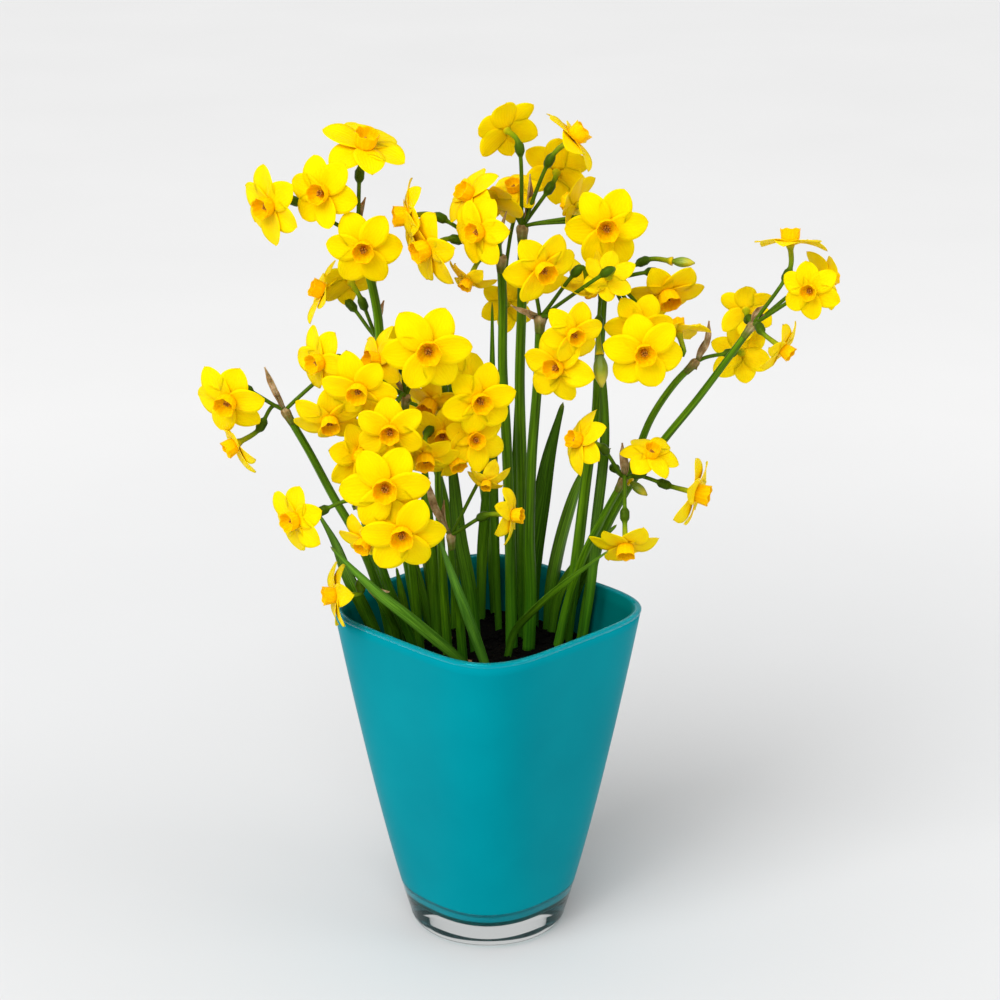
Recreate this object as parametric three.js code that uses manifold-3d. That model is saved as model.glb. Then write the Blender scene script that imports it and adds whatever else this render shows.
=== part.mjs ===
// Potted many-flowered daffodils: bulbs in potting soil, leaves and flower heads on bare stems,
// in a square tapered jar of clear glass with a coloured inner layer and a thick clear foot.
// Millimetres, +Z up. Origin: centre of the jar's underside. The jar's corners point along X and Y.
import * as THREE from "three";
import { mergeVertices } from "three/addons/utils/BufferGeometryUtils.js";
import Module from "manifold-3d";

const wasm = await Module();
wasm.setup();

// ---------------------------------------------------------------- driving dimensions
const GAP = 0.3; // clearance between pieces that touch
const JAR_GAP = 0.45; // the same between the bent walls of the jar, its lining and the soil

const JAR_HEIGHT = 181;
const RIM_HALF = 67.3; // half the width across the flat sides at the rim
const BASE_HALF = 40.6; // the same, where the side lines meet the table
const CORNER_AT_BASE = 2; // superellipse exponent of the plan: 2 is a circle
const CORNER_GAIN = 2.4; // how much the exponent grows towards the rim
const GLASS_WALL = 2.3;
const FOOT_THICKNESS = 14; // solid clear glass under the coloured layer
const FLAT_UNDERSIDE = 37.2; // half width of the flat face that the jar stands on
const HEEL = [39.4, 1.6]; // half width and height of the rounding round that face
const HEEL_TOP = 5; // height at which the rounding meets the wall
const HEEL_DRAW = 0.4; // how far the rounding's top is drawn in from the wall
const RIM_CROWN = 0.5; // how far the middle of the rounded rim stands up
const FLOOR_HALF = 34; // half width of the flat floor inside the glass
const FLOOR_CORNER = 2; // height of the sloping corner round that floor
const CORNER_DRAW = 1.4; // how far that corner is drawn in from the wall
const LINING_WALL = 1.3;
const JAR_SEGMENTS = 32;
const WALL_RINGS = [20, 38, 60, 86, 116, 151]; // heights at which the bent walls are worked out

const SOIL_TOP = 151;
const FOOT_LEVEL = SOIL_TOP + GAP; // stems and leaves stand on the soil
const BULB_RADIUS = 13;
const BULB_HEIGHT = 38;
const NOSE_RADIUS = 5.5;
const BULB_SEGMENTS = 10;

const STEM_RADIUS = 2.5;
const STEM_SIDES = 5;
const STEM_STEPS = 7;
const HUB_RADIUS = 3.2; // the swelling on top of a stem that the flower stalks leave
const STALK_RADIUS = 1.3;
const STALK_SIDES = 4;
const STALK_STEPS = 3;
const STALK_LEAD = 6; // first stretch of a stalk, before it bends
const STALK_RISE = 0.35; // least climb of that stretch, of its length
const TUBE_LENGTH = 12; // flower tube and ovary behind the petals
const PETAL_NOTCH = 0.56; // how far in the notches between the six petals reach
const CUP_RADIUS = 0.15; // of the flower's width
const CUP_DEPTH = 0.16;
const BUD_RADIUS = 0.2; // of the bud's length
const FLOWER_SEGMENTS = 12; // petal tip, notch, petal tip, ...
const LEAF_THICKNESS = 1.4;
const LEAF_STEPS = 7;
const TIP_WIDTH = 0.22; // leaf width at the tip, of its full width
const SPATHE_WIDTH = 6;
const SPATHE_THICKNESS = 0.8;
const SPATHE_FACES = [0.2, -1, 0];

// ---------------------------------------------------------------- layout of the plants
// Bulb centres on the soil surface, x and y.
const BULBS = [
  [-40, 4],
  [-12, -6],
  [11, 16],
  [39, 17],
  [8, 46],
  [-22, 34],
];

// Each flower head: hub, points of its stem from the soil up to the hub,
// flowers and buds as [x, y, z of the petals' centre, turn, lift, width across].
// Turn 0 faces -Y, 90 faces +X; lift is the angle above level. A bud's last value is its length.
const FLOWER_HEADS = [
  {
    hub: [-66, 20, 376],
    stem: [
      [-46, 13, 152], [-54, 16, 182], [-64, 22, 218], [-65, 24, 253], [-59, 24, 289],
      [-56, 24, 324], [-60, 22, 353],
    ],
    flowers: [
      [-109, 8, 395, -40, -5, 40],
      [-82, 0, 403, -25, 5, 38],
      [-62, 18, 422, 30, 66, 44],
      [-62, -4, 375.5, 0, -5, 39],
    ],
    spathe: [-62, 26, 395],
  },
  {
    hub: [-58, 34, 318],
    stem: [[-36, 26, 152], [-41, 32, 179], [-47, 36, 217], [-52, 36, 257], [-56, 36, 295]],
    flowers: [
      [-85, 42, 341, -80, 25, 36],
      [-71, 36, 348, -150, 30, 34],
    ],
    spathe: [-54, 40, 337],
  },
  {
    hub: [-102, -26, 297],
    stem: [
      [-50, 2, 152], [-53, -1, 173], [-61, -8, 206], [-69, -12, 227], [-79, -17, 248],
      [-91, -22, 275],
    ],
    flowers: [
      [-128, -40, 307, -20, -15, 39],
      [-126, -30, 281, -65, -25, 34],
      [-82, -34, 325, -45, 0, 36],
    ],
    spathe: [-111, -30, 321],
  },
  {
    hub: [-60, -26, 202],
    stem: [[-46, -6, 152], [-48, -10, 171], [-54, -19, 189]],
    flowers: [[-77, -30, 199, -75, 0, 36]],
    spathe: [-50, -36, 203],
  },
  {
    hub: [-41, -20, 303],
    stem: [[-36, 6, 152], [-37, 4, 168], [-40, -2, 211], [-42, -9, 246], [-43, -15, 279]],
    flowers: [
      [-29, -44, 334, 5, 0, 44],
      [-54, -18, 321, -60, 10, 36],
      [-63, -46, 315, -10, -20, 38],
      [-79, -36, 296, 10, -30, 36],
      [-48, -50, 294, 0, -5, 36],
      [-65, -38, 277, 40, 5, 34],
    ],
    spathe: [-52, -6, 323],
  },
  {
    hub: [-22, -6, 284],
    stem: [[-21, 5, 152], [-24, 1, 207], [-25, -2, 236], [-25, -4, 263]],
    flowers: [
      [-28, -9, 297, -30, -30, 38],
      [-4, -30, 304, 15, -5, 38],
      [-31, -34, 276, 0, -35, 36],
      [-17, -22, 271, 30, -35, 34],
      [-6, -24, 281, 10, 10, 33],
      [-23, -15, 281, 5, -10, 32],
    ],
    spathe: [-12, 6, 299],
  },
  {
    hub: [-64, -44, 253],
    stem: [[-36, -5, 152], [-42, -14, 173], [-51, -27, 203], [-58, -39, 233]],
    flowers: [
      [-50, -66, 270, 0, 0, 44],
      [-42, -66, 246, 0, -10, 42],
      [-60, -58, 239, -30, -30, 32],
      [-95, -52, 248, -45, 0, 36],
    ],
    spathe: [-29, -40, 266],
  },
  {
    hub: [-19, -9, 224],
    stem: [[-13, 0, 152], [-15, -3, 178], [-18, -6, 203]],
    flowers: [
      [0, -24, 259, -10, -35, 23],
      [12, -26, 241, 70, 5, 30],
    ],
    spathe: [-31, -14, 257],
  },
  {
    hub: [7, 16, 366],
    stem: [[13, 14, 152], [12, 18, 212], [10, 20, 267], [8, 20, 306], [8, 18, 343]],
    flowers: [
      [-39, 14, 388, -80, 0, 40],
      [-29, 0, 375, -60, -15, 42],
      [-8, 10, 399, -60, 35, 36],
      [-3, -8, 385, -40, 5, 36],
      [3, 26, 392, 150, 40, 34],
      [-9, -2, 359, -40, -45, 27],
    ],
    spathe: [10, 20, 389],
  },
  {
    hub: [18, 32, 378],
    stem: [[20, 30, 152], [19, 32, 196], [18, 34, 251], [17, 34, 295], [18, 34, 339]],
    flowers: [
      [10, 24, 430, -150, 20, 36],
      [43, 30, 424, 90, 40, 40],
      [36, 50, 403, 170, 15, 38],
      [14, 40, 395, -20, 60, 30],
      [60, 5, 384, 5, 0, 42],
      [46, 26, 391, -120, 10, 34],
      [10, 47, 333, 170, -10, 29],
    ],
    spathe: [22, 36, 405],
  },
  {
    hub: [27, 2, 338],
    stem: [[22, 14, 152], [23, 14, 183], [22, 12, 213], [23, 8, 259], [26, 5, 304]],
    flowers: [
      [27, -22, 370, 25, -15, 40],
      [51, -2, 356, 150, -60, 30],
      [43, -24, 337, 20, -10, 33],
      [36, -16, 317, -30, 5, 38],
      [61, -10, 362, 190, -35, 28],
    ],
    spathe: [12, 0, 345],
  },
  {
    hub: [60, 24, 350],
    stem: [[42, 23, 152], [48, 24, 203], [53, 24, 250], [57, 22, 280], [58, 22, 306]],
    flowers: [
      [92, 20, 347, 20, -38, 42],
      [77, -6, 336, 5, -10, 34],
      [79, -16, 325, 5, 0, 40],
      [98, 6, 329, -160, 55, 32],
    ],
    buds: [
      [101, 30, 360, 70, 0, 13],
      [58, -4, 312, 10, -70, 18],
    ],
    spathe: [66, 28, 369],
  },
  {
    hub: [71, 0, 252],
    stem: [[37, 14, 152], [43, 16, 178], [52, 11, 208], [63, 5, 234]],
    flowers: [
      [48, -14, 277, -60, 20, 34],
      [84, -8, 267, 20, 60, 31],
      [107, -4, 246, 75, -10, 40],
      [71, -24, 225, 0, -45, 36],
    ],
    buds: [[79, 8, 244, 60, -30, 12]],
    spathe: [70, 2, 271],
  },
  {
    hub: [108, 14, 311],
    stem: [
      [43, 32, 152], [46, 32, 170], [54, 31, 193], [65, 30, 225], [77, 27, 252], [86, 23, 278],
      [98, 18, 299],
    ],
    flowers: [[133, 32, 311, 160, -15, 34]],
    spathe: [114, 14, 333],
  },
  {
    hub: [136, 6, 333],
    stem: [
      [50, 24, 152], [54, 26, 179], [60, 26, 207], [74, 22, 239], [92, 15, 268], [109, 11, 292],
    ],
    flowers: [
      [154, 10, 374, 180, 74, 38],
      [162, -16, 357, -20, 0, 31],
      [173, 18, 354, 120, 5, 32],
      [134, 24, 336, 180, 10, 30],
      [149, -12, 326, 60, -30, 30],
    ],
    spathe: [142, 10, 342],
  },
  {
    hub: [-34, 56, 273],
    stem: [[-18, 42, 152], [-18, 48, 179], [-22, 54, 215], [-30, 56, 249]],
    flowers: [
      [-62, 70, 283, -150, 10, 36],
      [-42, 82, 297, 180, 15, 38],
      [-12, 74, 283, 150, 0, 36],
      [-36, 80, 259, -170, -20, 36],
    ],
    spathe: [-28, 58, 297],
  },
];

// Each leaf: width, the direction its broad face looks, and points from the soil to the tip.
const LEAVES = [
  {
    width: 7.5,
    faces: [-0.5, -0.7, 0.5],
    path: [[2, -24, 152], [-9, -34, 187], [-18, -44, 217], [-24, -49, 237]],
  },
  {
    width: 6,
    faces: [-0.3, -0.8, 0.6],
    path: [[-7, -15, 152], [-21, -25, 167], [-39, -34, 187], [-58, -42, 207], [-79, -48, 232]],
  },
  {
    width: 8,
    faces: [-0.3, -0.9, 0.3],
    path: [[-55, 10, 152], [-63, 8, 171], [-73, 0, 198], [-79, -5, 218], [-87, -8, 235]],
  },
  {
    width: 5,
    faces: [0, -1, 0.1],
    path: [[-40, 13, 152], [-44, 8, 176], [-48, 5, 201]],
  },
  {
    width: 8,
    faces: [0.2, -1, 0.1],
    path: [[-6, 10, 152], [-10, 8, 189], [-15, 7, 218], [-18, 8, 251], [-21, 11, 279]],
  },
  {
    width: 5,
    faces: [0.2, -0.9, -0.2],
    path: [[10, 2, 152], [14, -4, 168], [24, -13, 184], [38, -22, 201], [62, -32, 224]],
  },
  {
    width: 10,
    faces: [-0.2, -1, 0.1],
    path: [[24, 44, 152], [24, 44, 183], [29, 42, 227], [33, 40, 253], [40, 38, 282]],
  },
  {
    width: 6,
    faces: [0.1, -1, 0.1],
    path: [[-4, 56, 152], [-3, 60, 194], [0, 60, 231], [2, 58, 278]],
  },
  {
    width: 5,
    faces: [0.3, -1, 0.1],
    path: [[6, 40, 152], [4, 42, 196], [3, 40, 240], [2.5, 36, 290], [2.5, 33, 338]],
  },
  {
    width: 8,
    faces: [-0.1, -1, 0.1],
    path: [[17, 56, 152], [18, 58, 197], [17, 58, 232], [17, 56, 267], [17, 54, 305]],
  },
  {
    width: 6,
    faces: [0.4, -1, 0.1],
    path: [
      [50, 13, 152], [55, 16, 188], [57, 17, 218], [61, 12, 271], [58, 8, 321], [56, 12, 333],
    ],
  },
  {
    width: 6,
    faces: [0.3, -1, 0.2],
    path: [[34, 36, 152], [39, 38, 175], [52, 44, 193], [70, 50, 209]],
  },
  {
    width: 8,
    faces: [0.3, 0.9, 0.4],
    path: [[-28, 40, 152], [-34, 52, 193], [-46, 66, 228], [-64, 80, 243]],
  },
  {
    width: 8,
    faces: [-0.2, 0.9, 0.4],
    path: [[33, 40, 152], [35, 43, 177], [43, 60, 208], [54, 78, 231], [68, 92, 239]],
  },
  {
    width: 7,
    faces: [0.1, 0.9, 0.4],
    path: [[4, 64, 152], [2, 74, 193], [-4, 88, 225], [-12, 104, 239]],
  },
  {
    width: 7,
    faces: [0.2, 0.9, 0.1],
    path: [[-30, 34, 152], [-38, 40, 179], [-52, 48, 218], [-64, 52, 243], [-74, 54, 265]],
  },
  {
    width: 7,
    faces: [0, -1, 0],
    path: [[-27, 14, 152], [-29, 13, 193], [-32, 11, 233], [-33, 12, 267]],
  },
];

// ---------------------------------------------------------------- materials
const material = (color, roughness, metalness = 0) =>
  new THREE.MeshStandardMaterial({ color, roughness, metalness });
const clearGlass = material(0xdfeff0, 0.05);
clearGlass.transparent = true;
clearGlass.opacity = 0.35;
const tealGlass = material(0x0096aa, 0.15);
const darkSoil = material(0x2a1d17, 0.95);
const bulbSkin = material(0x8a5a33, 0.8);
const stemGreen = material(0x4f7a30, 0.5);
const leafGreen = material(0x46702c, 0.5);
const petalYellow = material(0xfde000, 0.55);

// ---------------------------------------------------------------- solids and meshes
const root = new THREE.Group();

function toSolid(geometry) {
  const bare = geometry.clone();
  bare.deleteAttribute("normal");
  bare.deleteAttribute("uv");
  const merged = mergeVertices(bare, 1e-3);
  const vertProperties = Float32Array.from(merged.attributes.position.array);
  const triVerts = Uint32Array.from(merged.index.array);
  return new wasm.Manifold(new wasm.Mesh({ numProp: 3, vertProperties, triVerts }));
}

function toGeometry(solid) {
  const mesh = solid.getMesh();
  const geometry = new THREE.BufferGeometry();
  geometry.setAttribute("position", new THREE.BufferAttribute(mesh.vertProperties, 3));
  geometry.setIndex(new THREE.BufferAttribute(mesh.triVerts, 1));
  geometry.computeVertexNormals();
  return geometry;
}

function addPiece(name, geometry, look) {
  const mesh = new THREE.Mesh(geometry, look);
  mesh.name = name;
  root.add(mesh);
}

const vector = (point) => new THREE.Vector3(...point);

function moveVertices(geometry, place) {
  const position = geometry.attributes.position;
  const vertex = new THREE.Vector3();
  for (let i = 0; i < position.count; i += 1) {
    vertex.fromBufferAttribute(position, i);
    place(vertex);
    position.setXYZ(i, vertex.x, vertex.y, vertex.z);
  }
  return geometry;
}

// ---------------------------------------------------------------- the jar and the soil
const outerHalf = (z) => BASE_HALF + ((RIM_HALF - BASE_HALF) * z) / JAR_HEIGHT;

// Distance from the axis to a rounded square, round at the table and squarer towards the rim.
function planRadius(half, angle, z) {
  const rise = Math.min(Math.max(z / JAR_HEIGHT, 0), 1);
  const exponent = CORNER_AT_BASE + CORNER_GAIN * (1 - (1 - rise) ** 2);
  const across = Math.abs(Math.cos(angle - Math.PI / 4)) ** exponent;
  const along = Math.abs(Math.sin(angle - Math.PI / 4)) ** exponent;
  return half / (across + along) ** (1 / exponent);
}

// A lathe whose profile points are [half width, z], bent to the jar's plan.
function jarTurned(profile) {
  const points = profile.map(([half, z]) => new THREE.Vector2(half, z));
  const geometry = new THREE.LatheGeometry(points, JAR_SEGMENTS);
  geometry.rotateX(Math.PI / 2);
  return moveVertices(geometry, (vertex) => {
    const half = Math.hypot(vertex.x, vertex.y);
    if (half < 1e-6) return;
    const angle = Math.atan2(vertex.y, vertex.x);
    const radius = planRadius(half, angle, vertex.z);
    vertex.set(radius * Math.cos(angle), radius * Math.sin(angle), vertex.z);
  });
}

// Wall points up to a height, set in from the outside of the glass.
function wallLine(inset, top) {
  const heights = WALL_RINGS.filter((z) => z < top).concat(top);
  return heights.map((z) => [outerHalf(z) - inset, z]);
}

const cavityFloor = FOOT_THICKNESS;
const liningInset = GLASS_WALL + JAR_GAP;
const soilInset = liningInset + LINING_WALL + JAR_GAP;
const liningTop = JAR_HEIGHT - 0.8;

// The sloping corner between a wall set in from the outside and a floor.
function floorCorner(inset, floorZ) {
  const z = floorZ + FLOOR_CORNER;
  return [outerHalf(z) - inset - CORNER_DRAW, z];
}

function glassJar() {
  const heelTop = [outerHalf(HEEL_TOP) - HEEL_DRAW, HEEL_TOP];
  const foot = [[0, 0], [FLAT_UNDERSIDE, 0], HEEL, heelTop];
  const rim = [[RIM_HALF - GLASS_WALL / 2, JAR_HEIGHT + RIM_CROWN]];
  const inside = wallLine(GLASS_WALL, JAR_HEIGHT).reverse();
  const corner = floorCorner(GLASS_WALL, cavityFloor);
  const floor = [[FLOOR_HALF, cavityFloor], [0, cavityFloor]];
  const outside = wallLine(0, JAR_HEIGHT);
  return jarTurned([...foot, ...outside, ...rim, ...inside, corner, ...floor]);
}

function jarLining() {
  const floorZ = cavityFloor + GAP;
  const outside = wallLine(liningInset, liningTop);
  const inside = wallLine(liningInset + LINING_WALL, liningTop).reverse();
  const corner = floorCorner(liningInset, floorZ);
  const underside = [[0, floorZ], [FLOOR_HALF - 0.5, floorZ], corner];
  const innerFloor = [[FLOOR_HALF - 2, floorZ + LINING_WALL], [0, floorZ + LINING_WALL]];
  return jarTurned([...underside, ...outside, ...inside, ...innerFloor]);
}

function soilBlock() {
  const floorZ = cavityFloor + 2 * GAP + LINING_WALL;
  const side = wallLine(soilInset, SOIL_TOP);
  return jarTurned([[0, floorZ], [FLOOR_HALF - 2.5, floorZ], ...side, [0, SOIL_TOP]]);
}

// An onion-shaped bulb whose nose reaches the soil surface; `extra` grows it to cut its own hollow.
function bulbAt([x, y], extra) {
  const base = SOIL_TOP - BULB_HEIGHT;
  const profile = [
    [0, base - extra],
    [BULB_RADIUS * 0.45 + extra, base - extra],
    [BULB_RADIUS * 0.9 + extra, base + BULB_HEIGHT * 0.14],
    [BULB_RADIUS + extra, base + BULB_HEIGHT * 0.34],
    [BULB_RADIUS * 0.78 + extra, base + BULB_HEIGHT * 0.6],
    [NOSE_RADIUS + extra, base + BULB_HEIGHT * 0.84],
    [NOSE_RADIUS + extra, SOIL_TOP + 4 * extra],
    [0, SOIL_TOP + 4 * extra],
  ];
  const points = profile.map(([radius, z]) => new THREE.Vector2(radius, z));
  return new THREE.LatheGeometry(points, BULB_SEGMENTS).rotateX(Math.PI / 2).translate(x, y, 0);
}

addPiece("glass_jar", glassJar(), clearGlass);
addPiece("coloured_lining", jarLining(), tealGlass);
let soil = toSolid(soilBlock());
BULBS.forEach((place, index) => {
  soil = soil.subtract(toSolid(bulbAt(place, GAP)));
  addPiece(`bulb_${index + 1}`, bulbAt(place, 0), bulbSkin);
});
addPiece("potting_soil", toGeometry(soil), darkSoil);

// ---------------------------------------------------------------- stems and leaves
function roundBar(points, radius, sides, steps) {
  const section = new THREE.Shape();
  for (let side = 0; side < sides; side += 1) {
    const angle = (2 * Math.PI * side) / sides;
    const corner = [radius * Math.cos(angle), radius * Math.sin(angle)];
    if (side === 0) section.moveTo(...corner);
    else section.lineTo(...corner);
  }
  const path = new THREE.CatmullRomCurve3(points);
  return new THREE.ExtrudeGeometry(section, { steps, extrudePath: path, bevelEnabled: false });
}

// A strap along a curve: full width to two thirds of its length, then tapering to the tip.
function strap(points, width, thickness, steps, faces) {
  const path = new THREE.CatmullRomCurve3(points);
  const blade = new THREE.BoxGeometry(width, thickness, 1, 1, 1, steps);
  return moveVertices(blade, (vertex) => {
    const along = vertex.z + 0.5;
    const centre = path.getPoint(along);
    const tangent = path.getTangent(along);
    const side = new THREE.Vector3().crossVectors(faces, tangent).normalize();
    const outward = new THREE.Vector3().crossVectors(tangent, side);
    const taper = 1 - (1 - TIP_WIDTH) * THREE.MathUtils.smoothstep(along, 0.5, 1);
    const [across, through] = [vertex.x * taper, vertex.y];
    vertex.copy(centre).addScaledVector(side, across).addScaledVector(outward, through);
    vertex.z = Math.max(vertex.z, FOOT_LEVEL);
  });
}

function stemUpTo(hub, points) {
  const path = points.map(vector);
  const last = path[path.length - 1];
  const towards = hub.clone().sub(last).normalize();
  const top = hub.clone().addScaledVector(towards, -(HUB_RADIUS + GAP + 0.2));
  const stem = roundBar([...path, top], STEM_RADIUS, STEM_SIDES, STEM_STEPS);
  return moveVertices(stem, (vertex) => {
    vertex.z = Math.max(vertex.z, FOOT_LEVEL);
  });
}

// ---------------------------------------------------------------- flowers
function facing(turn, lift) {
  const [a, b] = [THREE.MathUtils.degToRad(turn), THREE.MathUtils.degToRad(lift)];
  return new THREE.Vector3(Math.sin(a) * Math.cos(b), -Math.cos(a) * Math.cos(b), Math.sin(b));
}

// Six petals round a cup, turned about +Y: petals thin out to their tips, the cup flares forward.
function flowerShape(across) {
  const radius = across / 2;
  const cup = across * CUP_RADIUS;
  const profile = [[0, -2.4], [radius, 0.6], [cup * 0.85, 1], [cup, across * CUP_DEPTH], [0, 2]];
  const points = profile.map(([r, y]) => new THREE.Vector2(r, y));
  const geometry = new THREE.LatheGeometry(points, FLOWER_SEGMENTS);
  return moveVertices(geometry, (vertex) => {
    const reach = Math.hypot(vertex.x, vertex.z);
    const spoke = Math.round((Math.atan2(vertex.z, vertex.x) / (2 * Math.PI)) * FLOWER_SEGMENTS);
    if (reach > cup * 1.5 && spoke % 2 !== 0) {
      vertex.x *= PETAL_NOTCH;
      vertex.z *= PETAL_NOTCH;
    }
  });
}

function budShape(length) {
  const radius = length * BUD_RADIUS;
  return new THREE.SphereGeometry(1, 6, 4).scale(radius, length / 2, radius);
}

function placed(geometry, centre, direction) {
  const turn = new THREE.Quaternion().setFromUnitVectors(new THREE.Vector3(0, 1, 0), direction);
  return geometry.applyQuaternion(turn).translate(centre.x, centre.y, centre.z);
}

// The stalk leaves the hub level or rising, and comes in along the flower's own axis.
function stalk(hub, centre, direction) {
  const back = centre.clone().addScaledVector(direction, -TUBE_LENGTH);
  const start = back.clone().sub(hub);
  start.z = Math.max(start.z, STALK_RISE * start.length());
  const lead = hub.clone().addScaledVector(start.normalize(), STALK_LEAD);
  return roundBar([hub, lead, back, centre], STALK_RADIUS, STALK_SIDES, STALK_STEPS);
}

function spatheBlade(hub, tip) {
  const middle = hub.clone().lerp(tip, 0.5);
  middle.y -= 1.5;
  return strap([hub, middle, tip], SPATHE_WIDTH, SPATHE_THICKNESS, 2, vector(SPATHE_FACES));
}

function flowerHead({ hub, flowers, buds = [], spathe }) {
  const centreOfHub = vector(hub);
  const knot = new THREE.SphereGeometry(HUB_RADIUS, 6, 3).translate(...hub);
  let head = toSolid(knot).add(toSolid(spatheBlade(centreOfHub, vector(spathe))));
  for (const [x, y, z, turn, lift, across] of flowers) {
    const centre = new THREE.Vector3(x, y, z);
    const direction = facing(turn, lift);
    head = head.add(toSolid(stalk(centreOfHub, centre, direction)));
    head = head.add(toSolid(placed(flowerShape(across), centre, direction)));
  }
  for (const [x, y, z, turn, lift, length] of buds) {
    const centre = new THREE.Vector3(x, y, z);
    const direction = facing(turn, lift);
    head = head.add(toSolid(stalk(centreOfHub, centre, direction)));
    head = head.add(toSolid(placed(budShape(length), centre, direction)));
  }
  return toGeometry(head);
}

FLOWER_HEADS.forEach((head, index) => {
  addPiece(`flower_stem_${index + 1}`, stemUpTo(vector(head.hub), head.stem), stemGreen);
  addPiece(`flower_head_${index + 1}`, flowerHead(head), petalYellow);
});

LEAVES.forEach(({ width, faces, path }, index) => {
  const blade = strap(path.map(vector), width, LEAF_THICKNESS, LEAF_STEPS, vector(faces));
  addPiece(`leaf_${index + 1}`, blade, leafGreen);
});

export default root;
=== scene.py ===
import math
import random

import bmesh
import bpy
import numpy as np
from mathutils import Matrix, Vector, noise


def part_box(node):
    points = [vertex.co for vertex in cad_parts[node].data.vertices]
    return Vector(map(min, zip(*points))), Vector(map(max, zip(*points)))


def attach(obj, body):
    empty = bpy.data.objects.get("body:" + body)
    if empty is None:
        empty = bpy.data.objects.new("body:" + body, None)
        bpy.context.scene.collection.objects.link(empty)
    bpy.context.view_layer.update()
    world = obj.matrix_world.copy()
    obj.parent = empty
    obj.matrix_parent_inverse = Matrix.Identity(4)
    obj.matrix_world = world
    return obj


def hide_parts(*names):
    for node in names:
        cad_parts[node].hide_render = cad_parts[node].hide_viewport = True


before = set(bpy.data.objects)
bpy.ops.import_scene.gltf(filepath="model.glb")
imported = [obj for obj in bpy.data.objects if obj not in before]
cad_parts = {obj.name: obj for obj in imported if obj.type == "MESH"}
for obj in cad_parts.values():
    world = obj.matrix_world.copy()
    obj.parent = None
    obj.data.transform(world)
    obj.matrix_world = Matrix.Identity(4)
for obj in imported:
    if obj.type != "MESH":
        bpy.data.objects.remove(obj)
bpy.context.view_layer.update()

MM = 0.001
rng = random.Random(7)

# ---- the jar, from the frame
_, glass_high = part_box("glass_jar")
lining_low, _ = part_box("coloured_lining")
soil_low, soil_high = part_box("potting_soil")
JAR_TOP = glass_high.z / MM
SOIL_BOTTOM = soil_low.z / MM
SOIL_TOP = soil_high.z / MM
FOOT_THICKNESS = lining_low.z / MM
RIM_HALF = 67.3  # half the width across the flat sides, at PLAN_HEIGHT
BASE_HALF = 40.6  # the same where the side lines meet the table
CORNER_AT_BASE = 2.0  # exponent of the plan: 2 is a circle, more is squarer
CORNER_GAIN = 2.4
PLAN_HEIGHT = 181.0
GLASS_WALL = 2.3
LINING_WALL = 1.3
BOND = 0.1  # how far the coloured layer is sunk into the glass that it is fused to
CLEAR_EDGE = 24.0  # clear glass over the colour thins out to nothing at this height
BOWL = 7.0  # radius of the rounded corner inside the foot
SHADE_BAND_HEIGHT = 3.4  # height of the painted shade: a dark green band round the bottom of the colour, standing in for its shaded underside seen through the thick foot
LIP = 3.0  # thickness of the clear lip
UNDERSIDE_RISE = 0.8  # hollow of the jar's underside
HEEL_START = 37.2  # half width of the ring that the jar stands on
HEEL_HEIGHT = 7.0
AROUND_JAR = 192
WALL_START = 1.0  # the clear wall's first row is this far above the heel
GLASS_EDGE = (0.5, 0.35, 0.3)  # the glass ends this far below CLEAR_EDGE: outside, tip, inside
COLOUR_STEP = 3.0  # the first plain row of colour is this far above CLEAR_EDGE
COLOUR_TOP = JAR_TOP - 1.2  # the clear lip stands above the colour
HEEL_STEPS = 14
FACE_STEPS = 14
BOWL_STEPS = 10
LIP_STEPS = 23
LIP_TURN = 345  # degrees; one more step closes the ring
UNDERSIDE_SHARES = (0.02, 0.2, 0.4, 0.6, 0.75, 0.88, 1.0)
FLOOR_SHARES = (0.75, 0.5, 0.25, 0.02)
SHADE_BAND_BLUR = 0.6  # height over which the painted shade band turns into the colour
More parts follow.
